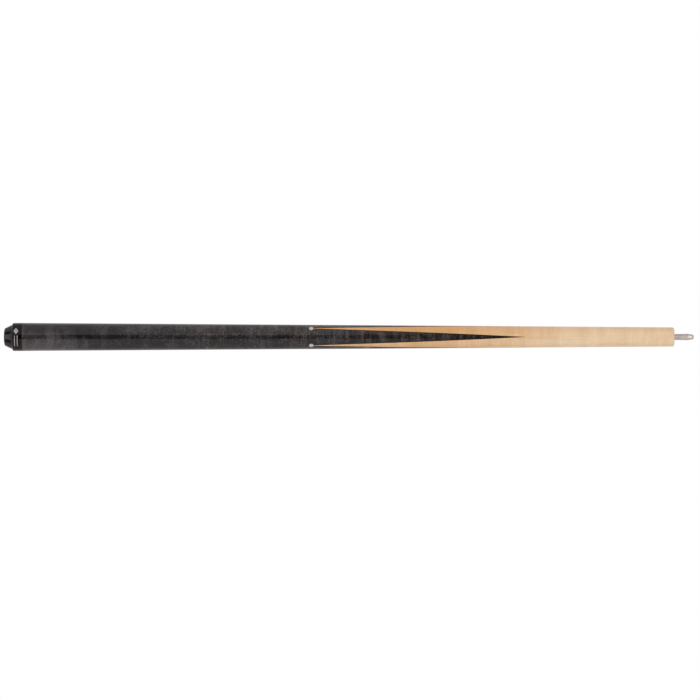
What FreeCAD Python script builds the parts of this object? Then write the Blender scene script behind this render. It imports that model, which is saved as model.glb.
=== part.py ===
import FreeCAD, Part

import os
import re

import Sketcher
from FreeCAD import Placement, Rotation, Vector

# A two-piece pool cue lying along +X: bumper at the origin, tip at the far end.
# The shaft is unscrewed and drawn off ahead of the joint pin.
# Every length below is in millimetres.

DIMENSIONS = [
    # whole cue
    ("butt_length", 736.6, "cap's rear face to the butt's joint face, 29 in"),
    ("shaft_length", 736.6, "shaft's joint face to the crown of the tip, 29 in"),
    ("shaft_gap", 34.0, "how far the shaft's joint face is drawn off the butt's"),
    ("joint_radius", 10.7, "both joint faces, 0.84 in across"),
    ("joint_rounding", 2.0, "rounded edge of both joint faces"),
    # bumper
    ("bumper_height", 9.0, "rubber standing behind the cap"),
    ("bumper_land_radius", 7.2, "flat land round the recess, which a standing cue rests on"),
    ("bumper_land_rounding", 3.0, "rounding between the land and the crown"),
    ("bumper_crown_drop", 0.8, "how far the crown falls away from the land"),
    ("bumper_rear_radius", 9.7, "edge of the crowned rear end"),
    ("bumper_base_radius", 13.65, "where the cone meets the cap"),
    ("bumper_edge_rounding", 1.2, "rounding of the rear edge"),
    ("bumper_lip", 1.1, "length of the moulded lip at the base"),
    ("bumper_groove_width", 0.6, "shadow groove behind the lip"),
    ("bumper_groove_depth", 0.5, "shadow groove behind the lip"),
    ("tool_recess_radius", 5.5, "recess that takes the screw's key"),
    ("tool_recess_depth", 3.6, "recess that takes the screw's key"),
    ("washer_recess_radius", 4.6, "pocket for the washer and the screw's head"),
    ("washer_recess_depth", 6.8, "floor of the pocket, from the rear end"),
    ("spigot_radius", 6.5, "bumper's spigot in the cap"),
    ("spigot_length", 1.8, "bumper's spigot in the cap"),
    ("bumper_hole_radius", 2.8, "screw's hole through the rubber"),
    # bumper screw, washer and the bush that it screws into
    ("washer_radius", 4.5, "steel washer"),
    ("washer_hole_radius", 2.6, "steel washer"),
    ("washer_thickness", 0.8, "steel washer"),
    ("screw_head_radius", 3.8, "button head"),
    ("screw_head_height", 2.2, "button head"),
    ("screw_head_rounding", 1.2, "button head"),
    ("screw_radius", 2.5, "M5 shank"),
    ("screw_length", 18.0, "M5 shank, under the head"),
    ("screw_pitch", 0.8, "M5 coarse thread"),
    ("screw_thread_depth", 0.35, "M5 coarse thread"),
    ("screw_thread_count", 14, "ridges on the shank"),
    ("screw_key_size", 1.75, "corner radius of the hexagon socket"),
    ("screw_key_depth", 1.4, "hexagon socket"),
    ("bush_length", 14.0, "brass bush in the rear of the handle"),
    ("bush_hole_radius", 2.55, "screw's hole, clear of its thread"),
    # butt cap
    ("cap_length", 11.7, "black cap over the handle's tenon"),
    ("cap_rear_radius", 13.9, "rear face, inside the chamfer"),
    ("cap_radius", 15.6, "outside, at the chamfer"),
    ("cap_chamfer", 1.1, "length of the rear chamfer"),
    ("cap_floor", 3.0, "rear wall"),
    ("cap_hole_radius", 6.6, "hole in the rear wall"),
    # handle and forearm
    ("handle_radius", 15.65, "at the cap"),
    ("tenon_radius", 10.5, "handle's tenon inside the cap"),
    ("bolt_bore_radius", 6.35, "1/2 in bore for bush and weight bolt"),
    ("bolt_bore_depth", 118.0, "from the tenon's end"),
    ("bolt_length", 100.0, "weight bolt"),
    ("bolt_clearance", 2.0, "bush to weight bolt"),
    ("bolt_key_size", 3.7, "corner radius of the hexagon socket"),
    ("bolt_key_depth", 7.0, "hexagon socket"),
    ("valley_radius", 13.52, "outside of the cue at the rear of the splice"),
    # four-point splice
    ("splice_length", 403.7, "joint face back to where the forearm's blades end"),
    ("splice_overrun", 5.0, "cutters run out past the joint face"),
    ("blade_half", 0.15, "half thickness of a forearm blade at its end"),
    ("blade_slope", 0.0346, "growth of the half thickness per millimetre"),
    ("veneer_thickness", 0.9, "black veneer along both sides of each point"),
    ("dot_radius", 2.5, "pearl dot over each valley's end"),
    ("dot_depth", 2.0, "pearl dot"),
    # joint pin
    ("pin_anchor_length", 30.0, "glued into the forearm"),
    ("pin_anchor_radius", 3.6, "glued into the forearm"),
    ("pin_length", 21.8, "standing out of the joint face"),
    ("pin_neck_length", 1.8, "relief behind the thread"),
    ("pin_neck_radius", 3.05, "relief behind the thread"),
    ("pin_radius", 3.45, "crest of the thread and smooth barrel"),
    ("pin_thread_end", 10.6, "thread stops this far from the joint face"),
    ("pin_thread_pitch", 1.27, "20 threads to the inch"),
    ("pin_thread_depth", 0.22, "shallow rounded thread"),
    ("pin_thread_count", 6, "ridges on the pin"),
    ("pin_scribe_depth", 0.12, "turned line where the taper starts"),
    ("pin_barrel_end", 15.0, "taper starts this far from the joint face"),
    ("pin_taper_end", 19.6, "nose starts this far from the joint face"),
    ("pin_tip_radius", 2.88, "small end of the taper"),
    ("pin_nose_rounding", 2.1, "bullet nose"),
    # shaft
    ("insert_radius", 5.45, "brass insert, clear of the wood by 0.05"),
    ("insert_socket_radius", 5.5, "socket in the shaft's joint end"),
    ("insert_length", 25.0, "brass insert"),
    ("insert_bore_radius", 3.53, "runs over the pin's crests"),
    ("insert_mouth", 0.6, "countersunk mouth"),
    ("socket_depth", 27.0, "drilled past the insert"),
    ("collar_run", 130.0, "first stretch of the shaft's taper"),
    ("collar_run_radius", 9.35, "radius at its end"),
    ("middle_run", 330.0, "second stretch ends this far from the joint"),
    ("middle_run_radius", 7.35, "radius at its end"),
    ("playing_run", 450.0, "parallel playing stretch starts here"),
    ("playing_radius", 6.6, "radius where it starts"),
    ("tip_radius", 6.45, "ferrule, pad and tip"),
    ("ferrule_length", 25.4, "1 in ferrule"),
    ("ferrule_tenon_radius", 4.0, "shaft's tenon inside the ferrule"),
    ("ferrule_tenon_length", 22.0, "shaft's tenon inside the ferrule"),
    ("pad_thickness", 1.0, "fibre pad under the tip"),
    ("tip_height", 6.3, "leather tip with its crown"),
    ("tip_crown_radius", 10.6, "nickel-radius crown"),
]

# stations along X that several pieces share
CAP_FRONT = "bumper_height + cap_length"
TENON_REAR = "bumper_height + cap_floor"
JOINT = "bumper_height + butt_length"
VALLEY = "bumper_height + butt_length - splice_length"
BOLT_REAR = TENON_REAR + " + bush_length + bolt_clearance"
SHAFT = "bumper_height + butt_length + shaft_gap"
FERRULE = SHAFT + " + shaft_length - tip_height - pad_thickness - ferrule_length"

DIAGONALS = (45, 135, 225, 315)
VENEERS = {"veneer_top": 45, "veneer_front": 135, "veneer_under": 225, "veneer_rear": 315}
NEAR = 0.01

doc = FreeCAD.newDocument("pool_cue")


def make_sheet():
    sheet = doc.addObject("Spreadsheet::Sheet", "dims")
    for row, (alias, value, note) in enumerate(DIMENSIONS, start=1):
        sheet.set(f"A{row}", note)
        sheet.set(f"B{row}", str(value))
        sheet.setAlias(f"B{row}", alias)
    doc.recompute()
    return sheet


def bound(text):
    """The same sum with every dimension read from the sheet."""
    return re.sub(r"\b(?!cos|sin|deg)[a-z][a-z_]+\b", lambda found: "dims." + found.group(), text)


def size_of(text):
    return float(sheet.evalExpression(bound(text)))


def named(kind, label):
    made = doc.addObject(kind, label)
    made.Label = label
    return made


def origin_feature(body, role):
    return next(f for f in body.Origin.OriginFeatures if f.Role == role)


def sketch_on(body, label, role):
    sketch = body.newObject("Sketcher::SketchObject", label)
    sketch.AttachmentSupport = [(origin_feature(body, role), "")]
    sketch.MapMode = "FlatFace"
    return sketch


def pin_down(sketch, line, axis, text):
    """Hold one line's start at a distance from the origin along X or Y."""
    if size_of(text) == 0 and axis == "Y":
        sketch.addConstraint(Sketcher.Constraint("PointOnObject", line, 1, -1))
        return
    held = Sketcher.Constraint("Distance" + axis, -1, 1, line, 1, size_of(text))
    index = sketch.addConstraint(held)
    sketch.setExpression(f"Constraints[{index}]", bound(text))


def closed_outline(sketch, corners):
    """A closed polygon whose corners are pairs of sums from the sheet."""
    points = [Vector(size_of(x), size_of(y), 0) for x, y in corners]
    for start, end in zip(points, points[1:] + points[:1]):
        sketch.addGeometry(Part.LineSegment(start, end), False)
    for line in range(len(points)):
        following = (line + 1) % len(points)
        sketch.addConstraint(Sketcher.Constraint("Coincident", line, 2, following, 1))
    for line, (x, y) in enumerate(corners):
        pin_down(sketch, line, "X", x)
        pin_down(sketch, line, "Y", y)


def turned(label, corners):
    """A piece turned on the X axis from its half profile."""
    body = named("PartDesign::Body", label)
    sketch = sketch_on(body, label + "_profile", "XY_Plane")
    closed_outline(sketch, corners)
    turning = body.newObject("PartDesign::Revolution", label + "_turning")
    turning.Profile = sketch
    turning.ReferenceAxis = (sketch, ["H_Axis"])
    turning.Angle = 360
    sketch.Visibility = False
    doc.recompute()
    return body


def circles_at(shape, x, radius):
    """Names of the circular edges round the X axis at one station."""
    names = []
    for number, edge in enumerate(shape.Edges, start=1):
        curve = edge.Curve
        if not isinstance(curve, Part.Circle):
            continue
        if abs(curve.Center.x - x) < NEAR and abs(curve.Radius - radius) < NEAR:
            names.append(f"Edge{number}")
    return names


def rounded(body, station, radius, rounding):
    """Round one turned edge."""
    base = body.Tip
    edges = circles_at(base.Shape, size_of(station), size_of(radius))
    fillet = body.newObject("PartDesign::Fillet", body.Label + "_rounding")
    fillet.Base = (base, edges)
    fillet.setExpression("Radius", bound(rounding))
    doc.recompute()
    return body


def ridged(body, station, radius, depth, pitch, count):
    """Cut a row of V grooves, which stand for a thread."""
    before = body.Shape.Volume
    sketch = sketch_on(body, body.Label + "_groove", "XY_Plane")
    half = f"({pitch}) * 0.46"
    closed_outline(
        sketch,
        [
            (f"{station} - {half}", f"{radius} + 0.02"),
            (f"{station} + {half}", f"{radius} + 0.02"),
            (station, f"{radius} - {depth}"),
        ],
    )
    groove = body.newObject("PartDesign::Groove", body.Label + "_thread")
    groove.Profile = sketch
    groove.ReferenceAxis = (sketch, ["H_Axis"])
    groove.Angle = 360
    doc.recompute()
    row = body.newObject("PartDesign::LinearPattern", body.Label + "_threads")
    row.Originals = [groove]
    row.Direction = (origin_feature(body, "X_Axis"), [""])
    row.setExpression("Length", bound(f"{pitch} * ({count} - 1)"))
    row.setExpression("Occurrences", bound(count))
    body.Tip = row
    doc.recompute()
    if not body.Shape.Volume < before:
        raise RuntimeError(body.Label + ": the thread cuts nothing")
    return body


def scribed(body, station, radius, depth):
    """One turned line round a piece."""
    sketch = sketch_on(body, body.Label + "_line", "XY_Plane")
    closed_outline(
        sketch,
        [
            (f"{station} - 0.15", f"{radius} + 0.02"),
            (f"{station} + 0.15", f"{radius} + 0.02"),
            (station, f"{radius} - {depth}"),
        ],
    )
    groove = body.newObject("PartDesign::Groove", body.Label + "_scribe")
    groove.Profile = sketch
    groove.ReferenceAxis = (sketch, ["H_Axis"])
    groove.Angle = 360
    doc.recompute()
    return body


def lying(solid, station):
    """Lay a primitive's own axis along +X, its base at a station."""
    solid.Placement = Placement(Vector(size_of(station), 0, 0), Rotation(Vector(0, 1, 0), 90))
    solid.setExpression("Placement.Base.x", bound(station))
    return solid


def rod(label, station, length, radius):
    solid = named("Part::Cylinder", label)
    solid.setExpression("Radius", bound(radius))
    solid.setExpression("Height", bound(length))
    return lying(solid, station)


def hexagon(label, station, length, corner_radius):
    solid = named("Part::Prism", label)
    solid.Polygon = 6
    solid.setExpression("Circumradius", bound(corner_radius))
    solid.setExpression("Height", bound(length))
    return lying(solid, station)


def cut(label, base, tool):
    made = named("Part::Cut", label)
    made.Base = base
    made.Tool = tool
    doc.recompute()
    return made


def common(label, base, tool):
    made = named("Part::Common", label)
    made.Base = base
    made.Tool = tool
    doc.recompute()
    return made


def joined(label, solids):
    made = named("Part::MultiFuse", label)
    made.Shapes = solids
    doc.recompute()
    return made


def make_bumper():
    """Rubber cone with a crowned end, a lip at its base and a stepped screw hole."""
    slope = "(bumper_base_radius - bumper_rear_radius) / (bumper_height - bumper_crown_drop)"
    groove_front = "bumper_height - bumper_lip"
    groove_rear = groove_front + " - bumper_groove_width"
    cone_front = f"bumper_base_radius - {slope} * bumper_lip"
    cone_rear = f"{cone_front} - {slope} * bumper_groove_width"
    body = turned(
        "rubber_bumper",
        [
            ("0", "tool_recess_radius"),
            ("0", "bumper_land_radius"),
            ("bumper_crown_drop", "bumper_rear_radius"),
            (groove_rear, cone_rear),
            (groove_rear, cone_rear + " - bumper_groove_depth"),
            (groove_front, cone_rear + " - bumper_groove_depth"),
            (groove_front, cone_front),
            ("bumper_height", "bumper_base_radius"),
            ("bumper_height", "spigot_radius"),
            ("bumper_height + spigot_length", "spigot_radius"),
            ("bumper_height + spigot_length", "bumper_hole_radius"),
            ("washer_recess_depth", "bumper_hole_radius"),
            ("washer_recess_depth", "washer_recess_radius"),
            ("tool_recess_depth", "washer_recess_radius"),
            ("tool_recess_depth", "tool_recess_radius"),
        ],
    )
    rounded(body, "0", "bumper_land_radius", "bumper_land_rounding")
    return rounded(body, "bumper_crown_drop", "bumper_rear_radius", "bumper_edge_rounding")


def make_washer():
    front = "washer_recess_depth"
    rear = "washer_recess_depth - washer_thickness"
    return turned(
        "bumper_washer",
        [
            (rear, "washer_hole_radius"),
            (rear, "washer_radius"),
            (front, "washer_radius"),
            (front, "washer_hole_radius"),
        ],
    )


def make_bumper_screw():
    """Button-head screw whose hexagon socket opens to the rear."""
    under_head = "washer_recess_depth - washer_thickness"
    top = under_head + " - screw_head_height"
    tip = under_head + " + screw_length"
    body = turned(
        "screw_blank",
        [
            (top, "0"),
            (top, "screw_head_radius"),
            (under_head, "screw_head_radius"),
            (under_head, "screw_radius"),
            (tip + " - screw_thread_depth", "screw_radius"),
            (tip, "screw_radius - screw_thread_depth"),
            (tip, "0"),
        ],
    )
    rounded(body, top, "screw_head_radius", "screw_head_rounding")
    first = tip + " - screw_pitch * screw_thread_count"
    ridged(body, first, "screw_radius", "screw_thread_depth", "screw_pitch", "screw_thread_count")
    key = hexagon("screw_key", top, "screw_key_depth", "screw_key_size")
    return cut("bumper_screw", body, key)


def make_bush():
    rear = TENON_REAR
    front = TENON_REAR + " + bush_length"
    return turned(
        "bumper_bush",
        [
            (rear, "bush_hole_radius"),
            (rear, "bolt_bore_radius"),
            (front, "bolt_bore_radius"),
            (front, "bush_hole_radius"),
        ],
    )


def make_weight_bolt():
    """Steel slug behind the splice that sets the cue's weight."""
    slug = rod("bolt_blank", BOLT_REAR, "bolt_length", "bolt_bore_radius")
    key = hexagon("bolt_key", BOLT_REAR, "bolt_key_depth", "bolt_key_size")
    return cut("weight_bolt", slug, key)


def make_cap():
    """Black cap: a cup over the handle's tenon, chamfered at the rear."""
    return turned(
        "butt_cap",
        [
            ("bumper_height", "cap_hole_radius"),
            ("bumper_height", "cap_rear_radius"),
            ("bumper_height + cap_chamfer", "cap_radius"),
            (CAP_FRONT, "handle_radius"),
            (CAP_FRONT, "tenon_radius"),
            (TENON_REAR, "tenon_radius"),
            (TENON_REAR, "cap_hole_radius"),
        ],
    )


def make_butt_blank():
    """The butt's whole outside from the tenon to the joint face."""
    body = turned(
        "butt_blank",
        [
            (TENON_REAR, "0"),
            (TENON_REAR, "tenon_radius"),
            (CAP_FRONT, "tenon_radius"),
            (CAP_FRONT, "handle_radius"),
            (VALLEY, "valley_radius"),
            (JOINT, "joint_radius"),
            (JOINT, "0"),
        ],
    )
    return rounded(body, JOINT, "joint_radius", "joint_rounding")


def make_wedge(label, half_at_end, angle):
    """One long wedge through the axis, thin at the rear, turned to a diagonal."""
    body = named("PartDesign::Body", label)
    sketch = sketch_on(body, label + "_outline", "XY_Plane")
    front = JOINT + " + splice_overrun"
    half_at_front = f"{half_at_end} + blade_slope * (splice_length + splice_overrun)"
    closed_outline(
        sketch,
        [
            (VALLEY, f"-({half_at_end})"),
            (front, f"-({half_at_front})"),
            (front, half_at_front),
            (VALLEY, half_at_end),
        ],
    )
    pad = body.newObject("PartDesign::Pad", label + "_pad")
    pad.Profile = sketch
    pad.SideType = "Symmetric"
    pad.setExpression("Length", bound("handle_radius * 2.4"))
    body.Placement = Placement(Vector(0, 0, 0), Rotation(Vector(1, 0, 0), angle))
    doc.recompute()
    return body


def make_cross(label, half_at_end):
    """Two wedges crossed on the diagonals."""
    wedges = [make_wedge(f"{label}_{angle}", half_at_end, angle) for angle in DIAGONALS[:2]]
    return joined(label, wedges)


def make_dot_plugs():
    """A short rod standing on each diagonal, where a valley ends."""
    plugs = []
    for angle in DIAGONALS:
        plug = named("Part::Cylinder", f"dot_plug_{angle}")
        plug.setExpression("Radius", bound("dot_radius"))
        plug.setExpression("Height", bound("dot_depth * 2"))
        plug.Placement = Placement(Vector(0, 0, 0), Rotation(Vector(1, 0, 0), angle - 90))
        seat = "(valley_radius - dot_depth)"
        plug.setExpression("Placement.Base.x", bound(VALLEY))
        plug.setExpression("Placement.Base.y", bound(f"{seat} * cos({angle} deg)"))
        plug.setExpression("Placement.Base.z", bound(f"{seat} * sin({angle} deg)"))
        plugs.append(plug)
    doc.recompute()
    return plugs


def make_quadrant(label, angle):
    """A long block over one quarter of the cue, between two diagonals."""
    block = named("Part::Box", label)
    block.setExpression("Length", bound("splice_length + splice_overrun"))
    block.setExpression("Width", bound("handle_radius * 2"))
    block.setExpression("Height", bound("handle_radius * 2"))
    block.Placement = Placement(Vector(0, 0, 0), Rotation(Vector(1, 0, 0), angle))
    block.setExpression("Placement.Base.x", bound(VALLEY))
    return block


def make_butt_wood():
    """Handle, four veneers, forearm and four dots, all cut from one tapered blank."""
    blank = make_butt_blank()
    plugs = make_dot_plugs()
    all_plugs = joined("dot_plugs", plugs)
    thin = make_cross("blade_cross", "blade_half")
    thick = make_cross("veneer_cross", "blade_half + veneer_thickness")
    pin_bore = rod("pin_bore", JOINT + " - pin_anchor_length", "pin_anchor_length + 1", "pin_anchor_radius")
    bolt_bore = rod("bolt_bore", TENON_REAR + " - 1", "bolt_bore_depth + 1", "bolt_bore_radius")

    behind = cut("handle_splice", blank, thick)
    cut("handle", behind, joined("handle_tools", [all_plugs, bolt_bore]))

    ahead = common("forearm_splice", blank, thin)
    cut("forearm", ahead, joined("forearm_tools", [all_plugs, pin_bore]))

    between = cut("veneer_layers", thick, thin)
    skin = common("veneer_skin", blank, between)
    trimmed = cut("veneer_trim", skin, all_plugs)
    for label, angle in VENEERS.items():
        common(label, trimmed, make_quadrant(label + "_quarter", angle))

    for number, plug in enumerate(plugs, start=1):
        common(f"pearl_dot_{number}", blank, plug)


def make_joint_pin():
    """Bullet-nosed pin: anchor, neck, thread, smooth barrel, taper and nose."""
    nose = JOINT + " + pin_length"
    body = turned(
        "joint_pin",
        [
            (JOINT + " - pin_anchor_length", "0"),
            (JOINT + " - pin_anchor_length", "pin_anchor_radius"),
            (JOINT, "pin_anchor_radius"),
            (JOINT, "pin_neck_radius"),
            (JOINT + " + pin_neck_length", "pin_neck_radius"),
            (JOINT + " + pin_neck_length", "pin_radius"),
            (JOINT + " + pin_barrel_end", "pin_radius"),
            (JOINT + " + pin_taper_end", "pin_tip_radius"),
            (nose, "pin_tip_radius"),
            (nose, "0"),
        ],
    )
    rounded(body, nose, "pin_tip_radius", "pin_nose_rounding")
    first = JOINT + " + pin_thread_end - pin_thread_pitch * pin_thread_count"
    ridged(body, first, "pin_radius", "pin_thread_depth", "pin_thread_pitch", "pin_thread_count")
    return scribed(body, JOINT + " + pin_barrel_end - 0.3", "pin_radius", "pin_scribe_depth")


def make_insert():
    """Brass insert in the shaft that takes the pin."""
    front = SHAFT + " + insert_length"
    return turned(
        "shaft_insert",
        [
            (SHAFT, "insert_bore_radius + insert_mouth"),
            (SHAFT, "insert_radius"),
            (front, "insert_radius"),
            (front, "insert_bore_radius"),
            (SHAFT + " + insert_mouth", "insert_bore_radius"),
        ],
    )


def make_shaft():
    """Tapered maple shaft: joint socket, long taper, parallel stretch, tip tenon."""
    tenon_end = FERRULE + " + ferrule_tenon_length"
    body = turned(
        "shaft",
        [
            (SHAFT, "insert_socket_radius"),
            (SHAFT, "joint_radius"),
            (SHAFT + " + collar_run", "collar_run_radius"),
            (SHAFT + " + middle_run", "middle_run_radius"),
            (SHAFT + " + playing_run", "playing_radius"),
            (FERRULE, "tip_radius"),
            (FERRULE, "ferrule_tenon_radius"),
            (tenon_end, "ferrule_tenon_radius"),
            (tenon_end, "0"),
            (SHAFT + " + socket_depth", "0"),
            (SHAFT + " + socket_depth", "insert_socket_radius"),
        ],
    )
    return rounded(body, SHAFT, "joint_radius", "joint_rounding")


def make_ferrule():
    """White ferrule capped over the shaft's tenon."""
    front = FERRULE + " + ferrule_length"
    return turned(
        "ferrule",
        [
            (FERRULE, "ferrule_tenon_radius"),
            (FERRULE, "tip_radius"),
            (front, "tip_radius"),
            (front, "0"),
            (FERRULE + " + ferrule_tenon_length", "0"),
            (FERRULE + " + ferrule_tenon_length", "ferrule_tenon_radius"),
        ],
    )


def make_tip():
    """Fibre pad, and a leather tip crowned to a sphere."""
    pad = FERRULE + " + ferrule_length"
    base = pad + " + pad_thickness"
    rod("tip_pad", pad, "pad_thickness", "tip_radius")
    slug = rod("tip_slug", base, "tip_height", "tip_radius")
    ball = named("Part::Sphere", "tip_ball")
    ball.setExpression("Radius", bound("tip_crown_radius"))
    ball.setExpression("Placement.Base.x", bound(base + " + tip_height - tip_crown_radius"))
    common("cue_tip", slug, ball)


NODES = [
    "rubber_bumper",
    "bumper_washer",
    "bumper_screw",
    "bumper_bush",
    "butt_cap",
    "weight_bolt",
    "handle",
    *VENEERS,
    "forearm",
    "pearl_dot_1",
    "pearl_dot_2",
    "pearl_dot_3",
    "pearl_dot_4",
    "joint_pin",
    "shaft_insert",
    "shaft",
    "ferrule",
    "tip_pad",
    "cue_tip",
]


def check_document():
    for item in doc.Objects:
        if {"Invalid", "Error"} & set(item.State):
            raise RuntimeError(f"{item.Label}: {item.State}")


def write_nodes():
    os.makedirs("parts", exist_ok=True)
    for label in NODES:
        found = doc.getObjectsByLabel(label)[0]
        shape = found.Shape
        if shape.isNull() or not shape.isValid() or len(shape.Solids) != 1:
            raise RuntimeError(f"{label}: {len(shape.Solids)} solids, valid {shape.isValid()}")
        print(f"{label:14s} {shape.Volume:12.1f} mm3")
        shape.exportStep(f"parts/{label}.step")


sheet = make_sheet()
make_bumper()
make_washer()
make_bumper_screw()
make_bush()
make_weight_bolt()
make_cap()
make_butt_wood()
make_joint_pin()
make_insert()
make_shaft()
make_ferrule()
make_tip()
doc.recompute()
check_document()
write_nodes()
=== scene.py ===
import math

import bpy
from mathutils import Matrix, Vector


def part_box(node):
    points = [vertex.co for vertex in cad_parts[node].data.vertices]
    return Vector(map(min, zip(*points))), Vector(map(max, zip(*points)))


# A two-piece pool cue on a white light table, seen square from above by one far camera.
# The cue lies along +X. Every wood, metal and plastic is a solid procedural material in the
# object's own coordinates, in metres, which are the frame's while the parts are at rest.

WHITE = (1.0, 1.0, 1.0, 1.0)
# the lamps' colour, and the table's as the cue sees it
WARM = (1.0, 0.962, 0.958)
# one thousandth of a millimetre, for the relief that is only drawn
MICRON = 0.000001

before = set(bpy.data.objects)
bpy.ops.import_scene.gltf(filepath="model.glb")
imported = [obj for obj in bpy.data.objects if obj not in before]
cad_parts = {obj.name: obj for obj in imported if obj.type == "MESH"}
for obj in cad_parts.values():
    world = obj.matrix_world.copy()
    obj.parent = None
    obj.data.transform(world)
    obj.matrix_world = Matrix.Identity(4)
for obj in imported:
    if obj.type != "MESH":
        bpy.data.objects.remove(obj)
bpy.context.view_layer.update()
BUMPER_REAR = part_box("rubber_bumper")[0].x
CAP_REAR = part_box("butt_cap")[0].x
JOINT_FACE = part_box("forearm")[1].x
PIN_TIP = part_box("joint_pin")[1].x
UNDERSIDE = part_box("handle")[0].z

# the middle of the butt with its pin, from which the lights and the camera are set out
BUTT_MIDDLE = (BUMPER_REAR + PIN_TIP) / 2

# the cap's plain marks: centres and half sizes, along the cue and across it
LOZENGE_CENTRE = (CAP_REAR + 0.0050, 0.0066)
LOZENGE_HALF = (0.0029, 0.0036)
REAR_BAR_CENTRE = (CAP_REAR + 0.0035, -0.0042)
FRONT_BAR_CENTRE = (CAP_REAR + 0.0065, -0.0042)
BAR_HALF = (0.0004, 0.0060)

# the forearm turns from pale at the first of these places to orange at the second
ORANGE_FADE = (JOINT_FACE - 0.10, JOINT_FACE - 0.27)
# painted shade: across the cue, maple is drawn darker and more orange from the first of these
# sides to the second, as if that side lay in shade
PAINTED_SHADE_SIDES = (-0.009, 0.011)
# the scuffs of the bumper's rear end fade out between these places
SCUFFED = (BUMPER_REAR + 0.0002, BUMPER_REAR + 0.0016)
# the pin is plainly turned up to here, and polished from the blend's end to its tip
POLISHED = PIN_TIP - 0.0062
POLISH_BLEND = 0.0004

# How the stained maple changes along the handle. Each row holds where a change starts and
# where it ends, both measured from the bumper's rear end, and the value before and after it.
HANDLE_CHANGES = {
    "mottle_gain": (0.070, 0.110, 0.50, 1.00),
    "mottle_loss": (0.330, 0.400, 0.00, 0.50),
    "rear_tone": (0.055, 0.085, 0.16, -0.38),
    "hand_tone": (0.104, 0.125, 0.00, 0.12),
    "front_tone": (0.200, 0.400, 0.00, 0.12),
    # painted shade: how steeply the handle is drawn darker towards one side, one side at the rear
    # and the other past the hand
    "painted_shade_slope": (0.085, 0.115, -34.0, 18.0),
    "ray_gain": (0.170, 0.250, 0.10, 1.00),
    "worm_gain": (0.040, 0.220, 0.40, 1.00),
    "worm_calm": (0.330, 0.420, 1.00, 0.40),
    "brown_gain": (0.120, 0.340, 0.10, 0.65),
    "points_stain": (0.360, 0.420, 0.00, 1.00),
    "coat": (0.060, 0.130, 1.00, 0.86),
    "coat_loss": (0.340, 0.420, 0.00, 0.26),
}


# --- node helpers -----------------------------------------------------------------


def make_tree(name):
    """A new material and its empty node tree."""
    material = bpy.data.materials.new(name)
    material.use_nodes = True
    tree = material.node_tree
    tree.nodes.clear()
    return material, tree


def add(tree, kind, values=None, **settings):
    """One node; values are keyed by socket name or number, constants or other sockets."""
    made = tree.nodes.new("ShaderNode" + kind)
    for key, value in settings.items():
        setattr(made, key, value)
    for key, value in (values or {}).items():
        if isinstance(value, bpy.types.NodeSocket):
            tree.links.new(value, made.inputs[key])
        else:
            made.inputs[key].default_value = value
    return made


def maths(tree, operation, first, second=0.0, clamp=False):
    made = add(tree, "Math", {0: first, 1: second}, operation=operation, use_clamp=clamp)
    return made.outputs[0]


def total(tree, *parts):
    """The sum of several values."""
    result = parts[0]
    for part in parts[1:]:
        result = maths(tree, "ADD", result, part)
    return result


def vector_maths(tree, operation, first, second):
    made = add(tree, "VectorMath", {0: first, 1: second}, operation=operation)
    return made.outputs[0]


def blend(tree, share, low, high, kind="MIX"):
    made = add(tree, "Mix", {0: share, 6: low, 7: high}, data_type="RGBA", blend_type=kind)
    return made.outputs[2]


def remap(tree, value, low, high, to_low=0.0, to_high=1.0, smooth=True):
    """The value's range from low to high becomes to_low to to_high; beyond it, it stays level."""
    made = add(
        tree,
        "MapRange",
        {0: value, 1: low, 2: high, 3: to_low, 4: to_high},
        interpolation_type="SMOOTHSTEP" if smooth else "LINEAR",
    )
    return made.outputs[0]


def rgb(red, green, blue):
    """A linear colour from the usual 0 to 255 screen values."""
    linear = []
    for level in (red, green, blue):
        share = level / 255
        linear.append(share / 12.92 if share < 0.04045 else ((share + 0.055) / 1.055) ** 2.4)
    return (*linear, 1.0)


def position(tree):
    return add(tree, "TexCoord").outputs["Object"]


def axes_of(tree, where):
    """The position's three numbers: along the cue, across it, and up."""
    return add(tree, "SeparateXYZ", {0: where}).outputs


def stretched(tree, where, scale, shift=(0.0, 0.0, 0.0)):
    made = add(tree, "Mapping", {"Vector": where, "Location": shift, "Scale": scale})
    return made.outputs[0]


def noise(tree, where, scale, detail=3.0, rough=0.55, shift=(0.0, 0.0, 0.0), twist=0.0):
    """Noise whose grain is scale per metre along each axis."""
    values = {
        "Vector": stretched(tree, where, scale, shift),
        "Scale": 1.0,
        "Detail": detail,
        "Roughness": rough,
        "Distortion": twist,
    }
    return add(tree, "TexNoise", values).outputs[0]


def swayed(tree, where, amount, scale):
    """The position, pushed about by a slow noise, so that grain wanders."""
    values = {"Vector": stretched(tree, where, scale), "Scale": 1.0, "Detail": 2.0}
    push = add(tree, "TexNoise", values).outputs[1]
    centred = vector_maths(tree, "SUBTRACT", push, (0.5, 0.5, 0.5))
    scaled = vector_maths(tree, "MULTIPLY", centred, amount)
    return vector_maths(tree, "ADD", where, scaled)


def finish_material(material, tree, values, bump, depth):
    """The shader itself, with a drawn relief that is at most depth high."""
    surface = add(tree, "BsdfPrincipled", values)
    made = add(tree, "Bump", {"Height": bump, "Distance": depth, "Strength": 1.0})
    tree.links.new(made.outputs[0], surface.inputs["Normal"])
    out = add(tree, "OutputMaterial")
    tree.links.new(surface.outputs[0], out.inputs["Surface"])
    return material


# --- woods ------------------------------------------------------------------------


def lacquered(colour, roughness, coat, coat_roughness):
    """Wood, which hardly shines by itself, under clear lacquer."""
    return {
        "Base Color": colour,
        "Roughness": roughness,
        "Specular IOR Level": 0.12,
        "Coat Weight": coat,
        "Coat Roughness": coat_roughness,
        "Coat IOR": 1.42,
    }


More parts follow.
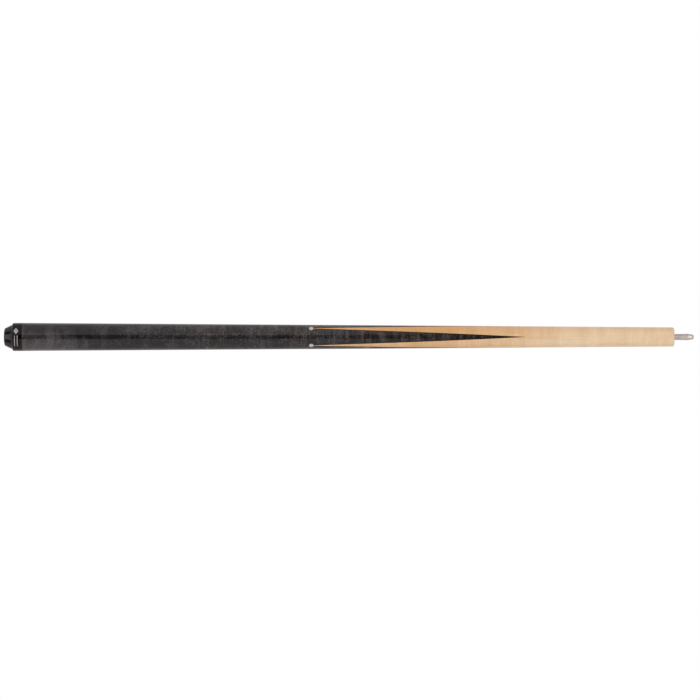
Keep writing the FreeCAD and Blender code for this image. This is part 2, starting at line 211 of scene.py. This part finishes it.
def natural_maple(name, pale, warm, fade=None, coat=1.0):
    """Hard maple: long fine grain, soft growth bands, faint cross curl and small flecks."""
    material, tree = make_tree(name)
    pinkish, amber, brown = rgb(228, 190, 155), rgb(206, 160, 110), rgb(158, 112, 70)
    where = position(tree)
    along, side = axes_of(tree, where)[:2]
    wandering = swayed(tree, where, (0.0, 0.0022, 0.0022), (5.0, 12.0, 12.0))
    bent = swayed(tree, where, (0.007, 0.0, 0.0), (30.0, 45.0, 45.0))
    bands = noise(tree, wandering, (2.2, 150.0, 150.0), detail=4.0, rough=0.6)
    streaks = noise(tree, wandering, (14.0, 620.0, 620.0), shift=(3.1, 0.0, 0.0))
    pores = noise(tree, wandering, (110.0, 2400.0, 2400.0), detail=2.0, shift=(0.0, 7.7, 0.0))
    curl = noise(tree, bent, (60.0, 14.0, 14.0), detail=2.0, rough=0.5, shift=(0.0, 0.0, 5.0))
    ripple = noise(tree, bent, (460.0, 90.0, 90.0), detail=2.0, rough=0.6, shift=(6.0, 0.0, 5.0))
    clouds = noise(tree, where, (24.0, 60.0, 60.0), detail=2.0, shift=(1.7, 4.0, 0.0))

    # the wood is more orange in its bands and curls and at the end of its fade, and is drawn
    # darker and more orange on one side as painted shade
    share = remap(tree, bands, 0.34, 0.70, -0.06, 0.16)
    share = total(tree, share, remap(tree, side, *PAINTED_SHADE_SIDES, -0.08, 0.29))
    if fade is not None:
        share = total(tree, share, remap(tree, along, *fade, 0.0, 0.78, smooth=False))
    curled = remap(tree, curl, 0.36, 0.66, -0.06, 0.10)
    share = maths(tree, "ADD", share, curled, clamp=True)
    colour = blend(tree, share, pale, warm)
    colour = blend(tree, remap(tree, clouds, 0.46, 0.68, 0.0, 0.30), colour, pinkish)
    colour = blend(tree, remap(tree, streaks, 0.46, 0.78, 0.0, 0.26), colour, amber)

    # painted sheen: ripples and curls are drawn a little lighter or darker than the wood between
    # them, as if catching the light
    painted_sheen = remap(tree, ripple, 0.3, 0.7, 0.965, 1.025)
    painted_sheen = maths(tree, "MULTIPLY", painted_sheen, remap(tree, curl, 0.36, 0.66, 1.018, 0.974))
    sheen_colour = add(tree, "CombineColor", {0: painted_sheen, 1: painted_sheen, 2: painted_sheen}).outputs[0]
    colour = blend(tree, 1.0, colour, sheen_colour, "MULTIPLY")
    colour = blend(tree, remap(tree, pores, 0.62, 0.80, 0.0, 0.34), colour, brown)

    roughness = remap(tree, streaks, 0.3, 0.8, 0.38, 0.52, smooth=False)
    values = lacquered(colour, roughness, coat, 0.04)
    return finish_material(material, tree, values, streaks, 20 * MICRON)


def handle_change(tree, along, name):
    """One row of HANDLE_CHANGES as a value that changes along the cue."""
    start, end, before, after = HANDLE_CHANGES[name]
    return remap(tree, along, BUMPER_REAR + start, BUMPER_REAR + end, before, after)


def maple_eyes(tree, where, rolled):
    """How dark the small eyes are: most at their centres, and in a few patches only."""
    spots = stretched(tree, rolled, (130.0, 260.0, 260.0))
    values = {"Vector": spots, "Scale": 1.0, "Randomness": 1.0}
    distance = add(tree, "TexVoronoi", values, feature="F1").outputs["Distance"]
    patches = noise(tree, where, (24.0, 50.0, 50.0), shift=(4.0, 4.0, 4.0))
    few = remap(tree, patches, 0.44, 0.60)
    return maths(tree, "MULTIPLY", remap(tree, distance, 0.08, 0.38, 0.85, 0.0), few)


def stained_maple(name):
    """Curly maple stained charcoal under lacquer: mottled figure, eyes and brown undertones."""
    material, tree = make_tree(name)
    deepest, grain_black, eye_black = rgb(11, 8, 10), rgb(12, 10, 10), rgb(8, 6, 7)
    grey_stain, brown_stain = rgb(87, 82, 84), rgb(102, 86, 81)
    points_stain = rgb(100, 87, 82)
    where = position(tree)
    along, side = axes_of(tree, where)[:2]
    wandering = swayed(tree, where, (0.0, 0.003, 0.003), (14.0, 30.0, 30.0))
    rolled = swayed(tree, where, (0.012, 0.004, 0.004), (40.0, 60.0, 60.0))
    bent = swayed(tree, where, (0.004, 0.0, 0.0), (30.0, 60.0, 60.0))
    curl = noise(tree, rolled, (165.0, 34.0, 34.0), detail=2.5)
    mottle = noise(tree, where, (48.0, 110.0, 110.0), rough=0.6, shift=(9.9, 2.0, 0.0))
    clouds = noise(tree, where, (20.0, 60.0, 60.0), detail=2.0, shift=(0.0, 3.0, 8.0))
    worms = noise(tree, rolled, (900.0, 1000.0, 1000.0), detail=2.0, rough=0.7, twist=1.0)
    grain = noise(tree, wandering, (60.0, 1500.0, 1500.0), shift=(2.0, 0.0, 0.0))
    rays = noise(tree, bent, (420.0, 22.0, 22.0), detail=1.5, shift=(1.0, 0.0, 6.0))

    # mottle and worms are weak at the rear, strong past the hand and weaker over the points,
    # and rays across the wood come in before the points
    mottle_loss = handle_change(tree, along, "mottle_loss")
    gain = maths(tree, "SUBTRACT", handle_change(tree, along, "mottle_gain"), mottle_loss)
    mottled = maths(tree, "MULTIPLY", remap(tree, mottle, 0.34, 0.66, -0.26, 0.26), gain)
    # painted shade: the handle is drawn darker on one side at the rear and on the other side past
    # the hand
    painted_side_shade = maths(tree, "MULTIPLY", side, handle_change(tree, along, "painted_shade_slope"))
    rayed = remap(tree, rays, 0.50, 0.66, -0.05, 0.36)
    rayed = maths(tree, "MULTIPLY", rayed, handle_change(tree, along, "ray_gain"))
    wild = remap(tree, worms, 0.42, 0.58, -0.54, 0.60)
    wild = maths(tree, "MULTIPLY", wild, handle_change(tree, along, "worm_gain"))
    wild = maths(tree, "MULTIPLY", wild, handle_change(tree, along, "worm_calm"))
    share = total(
        tree,
        remap(tree, curl, 0.38, 0.62, 0.0, 0.44),
        mottled,
        handle_change(tree, along, "rear_tone"),
        handle_change(tree, along, "hand_tone"),
        handle_change(tree, along, "front_tone"),
        painted_side_shade,
        rayed,
        wild,
    )
    share = remap(tree, share, -0.38, 1.32)

    brown = remap(tree, clouds, 0.42, 0.60)
    brown = maths(tree, "MULTIPLY", brown, handle_change(tree, along, "brown_gain"))
    stain = blend(tree, brown, grey_stain, brown_stain)
    stain = blend(tree, handle_change(tree, along, "points_stain"), stain, points_stain)
    colour = blend(tree, share, deepest, stain)
    colour = blend(tree, remap(tree, grain, 0.48, 0.74, 0.0, 0.60), colour, grain_black)
    colour = blend(tree, maple_eyes(tree, where, rolled), colour, eye_black)

    # the lacquer is a little thinner past the hand, and thinner again over the points
    coat_loss = handle_change(tree, along, "coat_loss")
    coat = maths(tree, "SUBTRACT", handle_change(tree, along, "coat"), coat_loss)
    roughness = remap(tree, curl, 0.3, 0.7, 0.42, 0.55, smooth=False)
    values = lacquered(colour, roughness, coat, 0.03)
    return finish_material(material, tree, values, grain, 20 * MICRON)


def black_veneer(name):
    """Dyed black veneer, its grain just visible under the lacquer."""
    material, tree = make_tree(name)
    grain = noise(tree, position(tree), (30.0, 1400.0, 1400.0))
    colour = blend(tree, remap(tree, grain, 0.35, 0.75), rgb(14, 6, 2), rgb(44, 22, 8))
    roughness = remap(tree, grain, 0.3, 0.7, 0.40, 0.55, smooth=False)
    values = lacquered(colour, roughness, 0.2, 0.03)
    return finish_material(material, tree, values, grain, 10 * MICRON)


# --- plastics, rubber, pearl, leather -----------------------------------------------


def off_centre(tree, place, centre):
    """How far along and across a place is from a centre, both without sign."""
    return [
        maths(tree, "ABSOLUTE", maths(tree, "SUBTRACT", value, middle))
        for value, middle in zip(place, centre)
    ]


def inside_bar(tree, place, centre, half):
    """1 inside a rectangle, 0 outside, with a thin soft edge."""
    edge = 0.00008
    parts = [
        remap(tree, off, size - edge, size + edge, 1.0, 0.0)
        for off, size in zip(off_centre(tree, place, centre), half)
    ]
    return maths(tree, "MULTIPLY", *parts)


def inside_lozenge(tree, place, centre, half):
    """1 inside a lozenge, 0 outside, with a soft edge that is a share of its size."""
    edge = 0.02
    shares = [
        maths(tree, "DIVIDE", off, size)
        for off, size in zip(off_centre(tree, place, centre), half)
    ]
    return remap(tree, total(tree, *shares), 1.0 - edge, 1.0 + edge, 1.0, 0.0)


def cap_plastic(name):
    """Glossy black cap with a plain silver lozenge and two plain bars on its upper side."""
    material, tree = make_tree(name)
    where = position(tree)
    swirl = noise(tree, where, (70.0, 70.0, 70.0), detail=4.0, rough=0.6)
    dust = noise(tree, where, (1800.0, 1800.0, 1800.0), detail=2.0)
    black = blend(tree, remap(tree, swirl, 0.35, 0.7), rgb(11, 7, 6), rgb(24, 17, 15))
    black = blend(tree, remap(tree, dust, 0.62, 0.80, 0.0, 0.25), black, rgb(46, 40, 38))

    along, side, height = axes_of(tree, where)
    place = (along, side)
    lozenge = inside_lozenge(tree, place, LOZENGE_CENTRE, LOZENGE_HALF)
    rear_bar = inside_bar(tree, place, REAR_BAR_CENTRE, BAR_HALF)
    front_bar = inside_bar(tree, place, FRONT_BAR_CENTRE, BAR_HALF)
    marks = maths(tree, "MAXIMUM", rear_bar, front_bar)
    marks = maths(tree, "MAXIMUM", marks, lozenge)
    upper = remap(tree, height, 0.0, 0.002)
    marks = maths(tree, "MULTIPLY", marks, upper)
    wear = noise(tree, where, (900.0, 900.0, 900.0))
    marks = maths(tree, "MULTIPLY", marks, remap(tree, wear, 0.30, 0.42, 0.55, 1.0))
    silver = rgb(166, 163, 160)
    values = {
        "Base Color": blend(tree, marks, black, silver),
        "Roughness": remap(tree, swirl, 0.3, 0.7, 0.05, 0.10, smooth=False),
        "IOR": 1.32,
    }
    return finish_material(material, tree, values, dust, 4 * MICRON)


def bumper_rubber(name):
    """Moulded black rubber: fine pebbling, satin sheen and a scuffed rear end."""
    material, tree = make_tree(name)
    where = position(tree)
    pebble = noise(tree, where, (2600.0, 2600.0, 2600.0), detail=2.0)
    clouds = noise(tree, where, (160.0, 160.0, 160.0), detail=4.0)
    along = axes_of(tree, where)[0]
    scuffed = remap(tree, along, *SCUFFED, 1.0, 0.0)
    scuffed = maths(tree, "MULTIPLY", scuffed, remap(tree, clouds, 0.42, 0.66))
    scuffed = maths(tree, "MULTIPLY", scuffed, 0.45)
    colour = blend(tree, remap(tree, clouds, 0.35, 0.7), rgb(12, 10, 10), rgb(24, 21, 20))
    values = {
        "Base Color": blend(tree, scuffed, colour, rgb(92, 90, 88)),
        "Roughness": remap(tree, pebble, 0.3, 0.7, 0.14, 0.24, smooth=False),
        "IOR": 1.5,
    }
    return finish_material(material, tree, values, pebble, 4 * MICRON)


def pearl(name):
    """Mother of pearl: wavy layers that shift between warm and cool white."""
    material, tree = make_tree(name)
    warm_dark, warm_light, cool = rgb(178, 173, 163), rgb(204, 200, 190), rgb(176, 178, 170)
    where = position(tree)
    layers = noise(tree, where, (420.0, 900.0, 900.0), twist=2.2)
    wide = noise(tree, where, (220.0, 220.0, 220.0), detail=2.0, shift=(3.0, 3.0, 0.0))
    colour = blend(tree, remap(tree, layers, 0.35, 0.68), warm_dark, warm_light)
    values = {
        "Base Color": blend(tree, remap(tree, wide, 0.40, 0.64, 0.0, 0.5), colour, cool),
        "Roughness": 0.22,
        "IOR": 1.5,
        "Coat Weight": 0.6,
        "Coat Roughness": 0.04,
    }
    return finish_material(material, tree, values, layers, 10 * MICRON)


def ferrule_white(name):
    """Bone-white ferrule, faintly streaked along its length."""
    material, tree = make_tree(name)
    streaks = noise(tree, position(tree), (40.0, 500.0, 500.0))
    share = remap(tree, streaks, 0.35, 0.7)
    colour = blend(tree, share, rgb(240, 236, 222), rgb(228, 221, 202))
    values = {"Base Color": colour, "Roughness": 0.20, "IOR": 1.5}
    return finish_material(material, tree, values, streaks, 10 * MICRON)


def fibre(name):
    """Vulcanised fibre pad, nearly black, with a matted edge."""
    material, tree = make_tree(name)
    felt = noise(tree, position(tree), (900.0, 2600.0, 2600.0), detail=4.0)
    colour = blend(tree, remap(tree, felt, 0.35, 0.7), rgb(26, 20, 20), rgb(52, 38, 36))
    values = {"Base Color": colour, "Roughness": 0.7}
    return finish_material(material, tree, values, felt, 30 * MICRON)


def tip_leather(name):
    """Brown leather: thin pressed layers, darkened here and there by a scuffed nap."""
    material, tree = make_tree(name)
    where = position(tree)
    layers = noise(tree, where, (1500.0, 90.0, 90.0))
    nap = noise(tree, where, (1900.0, 1900.0, 1900.0), detail=4.0, rough=0.7)
    colour = blend(tree, remap(tree, layers, 0.35, 0.68), rgb(98, 70, 50), rgb(142, 106, 78))
    values = {
        "Base Color": blend(tree, remap(tree, nap, 0.50, 0.72, 0.0, 0.5), colour, rgb(70, 50, 36)),
        "Roughness": remap(tree, nap, 0.3, 0.7, 0.55, 0.8),
        "IOR": 1.45,
    }
    return finish_material(material, tree, values, nap, 60 * MICRON)


# --- metals -----------------------------------------------------------------------


def turned_metal(name, dull, bright, rough_range, polished=None):
    """Metal turned on a lathe: fine rings, soft stains, and a nose that may be polished."""
    material, tree = make_tree(name)
    where = position(tree)
    rings = noise(tree, where, (2600.0, 3.0, 3.0), rough=0.7)
    stains = noise(tree, where, (240.0, 240.0, 240.0), shift=(5.0, 0.0, 2.0))
    ringed = remap(tree, rings, 0.35, 0.65, 0.0, 0.6)
    share = total(tree, ringed, remap(tree, stains, 0.35, 0.68, 0.0, 0.4))
    around = add(tree, "Tangent", direction_type="RADIAL", axis="X").outputs[0]
    rough = remap(tree, rings, 0.3, 0.7, *rough_range, smooth=False)
    if polished is not None:
        along = axes_of(tree, where)[0]
        smoothed = remap(tree, along, polished, polished + POLISH_BLEND, 1.0, 0.5)
        rough = maths(tree, "MULTIPLY", rough, smoothed)
    values = {
        "Base Color": blend(tree, share, dull, bright),
        "Metallic": 1.0,
        "Roughness": rough,
        "Anisotropic": 0.6,
        "Anisotropic Rotation": 0.25,
        "Tangent": around,
    }
    return finish_material(material, tree, values, rings, 2 * MICRON)


# --- dressing the cue ----------------------------------------------------------------


def dress(material, *nodes):
    """Gives CAD nodes one material, in place of any they have."""
    for node in nodes:
        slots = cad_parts[node].data.materials
        slots.clear()
        slots.append(material)


def nodes_named(start):
    return [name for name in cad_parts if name.startswith(start)]


def dress_woods():
    pale, orange = rgb(238, 212, 176), rgb(217, 164, 102)
    dress(natural_maple("forearm_maple", pale, orange, fade=ORANGE_FADE), "forearm")
    pale, orange = rgb(238, 216, 182), rgb(222, 184, 138)
    dress(natural_maple("shaft_maple", pale, orange, coat=0.3), "shaft")
    dress(stained_maple("charcoal_maple"), "handle")
    dress(black_veneer("veneer_black"), *nodes_named("veneer_"))


def dress_metals():
    dull, bright = rgb(194, 187, 183), rgb(214, 209, 202)
    pin = turned_metal("pin_turned_steel", dull, bright, (0.44, 0.52), POLISHED)
    dress(pin, "joint_pin")
    dull, bright = rgb(150, 150, 152), rgb(206, 206, 208)
    steel = turned_metal("plain_steel", dull, bright, (0.26, 0.40))
    dress(steel, "bumper_screw", "bumper_washer", "weight_bolt")
    dull, bright = rgb(190, 152, 84), rgb(228, 196, 124)
    brass = turned_metal("turned_brass", dull, bright, (0.20, 0.32))
    dress(brass, "shaft_insert", "bumper_bush")


def dress_small_parts():
    dress(pearl("pearl_inlay"), *nodes_named("pearl_dot_"))
    dress(cap_plastic("cap_gloss_black"), "butt_cap")
    dress(bumper_rubber("bumper_satin_rubber"), "rubber_bumper")
    dress(ferrule_white("ferrule_bone"), "ferrule")
    dress(fibre("pad_fibre"), "tip_pad")
    dress(tip_leather("tip_leather"), "cue_tip")


# --- stage --------------------------------------------------------------------------


def by_ray(tree, camera, glossy, diffuse):
    """A strength that depends on what kind of ray arrives."""
    path = add(tree, "LightPath").outputs
    return total(
        tree,
        maths(tree, "MULTIPLY", path["Is Camera Ray"], camera),
        maths(tree, "MULTIPLY", path["Is Glossy Ray"], glossy),
        maths(tree, "MULTIPLY", path["Is Diffuse Ray"], diffuse),
    )


def make_floor():
    """A plain light table, white to the camera, dimmer and a little warm to the cue."""
    size = 14.0
    below = 0.0002
    place = (JOINT_FACE, 0.0, UNDERSIDE - below)
    bpy.ops.mesh.primitive_plane_add(size=size, location=place)
    floor = bpy.context.object
    floor.name = "floor"
    material, tree = make_tree("floor_white")
    strength = by_ray(tree, camera=1.0, glossy=0.62, diffuse=0.85)
    seen = add(tree, "LightPath").outputs["Is Camera Ray"]
    colour = blend(tree, seen, (*WARM, 1.0), WHITE)
    glow = add(tree, "Emission", {"Color": colour, "Strength": strength})
    out = add(tree, "OutputMaterial")
    tree.links.new(glow.outputs[0], out.inputs["Surface"])
    floor.data.materials.append(material)


def make_world():
    """A white room that gives a little fill and hardly shows in the gloss."""
    world = bpy.data.worlds.new("studio")
    bpy.context.scene.world = world
    world.use_nodes = True
    tree = world.node_tree
    tree.nodes.clear()
    strength = by_ray(tree, camera=1.0, glossy=0.03, diffuse=0.08)
    background = add(tree, "Background", {"Color": WHITE, "Strength": strength})
    out = add(tree, "OutputWorld")
    tree.links.new(background.outputs[0], out.inputs["Surface"])


def make_softbox(name, place, turn, size, radiance):
    """A rectangular softbox that lights whatever its face looks at."""
    light = bpy.data.lights.new(name, "AREA")
    light.shape = "RECTANGLE"
    light.size, light.size_y = size
    light.energy = radiance * math.pi * size[0] * size[1]
    light.color = WARM
    holder = bpy.data.objects.new(name, light)
    holder.location = place
    holder.rotation_euler = turn
    holder.visible_camera = False
    bpy.context.scene.collection.objects.link(holder)


def make_walls():
    """Two long walls of soft light, one on each side; the gap over the cue is the camera's."""
    reach = 0.60
    length = 2.0
    half_gap = math.radians(17.4)
    radiance = 0.78
    height = reach / math.tan(half_gap)
    upright = math.radians(90)
    size = (length, height)
    for name, side in (("wall_far", 1), ("wall_near", -1)):
        place = (BUTT_MIDDLE, side * reach, height / 2)
        make_softbox(name, place, (-side * upright, 0, 0), size, radiance)


def make_end_cards():
    """A wide card of soft light above and beyond each end of the butt."""
    gap = 0.32
    height = 1.5
    length = 3.4
    width = 2.4
    radiance = 1.38
    ends = (("card_rear", -1, BUMPER_REAR - gap), ("card_front", 1, PIN_TIP + gap))
    for name, side, inner in ends:
        centre = inner + side * length / 2
        make_softbox(name, (centre, 0, height), (0, 0, 0), (length, width), radiance)


def make_camera():
    """One long lens, square to the cue, that takes in the butt from bumper to pin."""
    frame_width = 0.7793
    distance = 4.7
    ahead_of_middle = 0.0012
    beside_axis = -0.0145
    sensor = 36.0
    data = bpy.data.cameras.new("camera")
    data.sensor_width = sensor
    data.lens = sensor * distance / frame_width
    data.clip_end = 40.0
    camera = bpy.data.objects.new("camera", data)
    camera.location = Vector((BUTT_MIDDLE + ahead_of_middle, beside_axis, distance))
    bpy.context.scene.collection.objects.link(camera)
    bpy.context.scene.camera = camera


dress_woods()
dress_metals()
dress_small_parts()
make_floor()
make_world()
make_walls()
make_end_cards()
make_camera()
bpy.context.scene.view_settings.view_transform = "Standard"
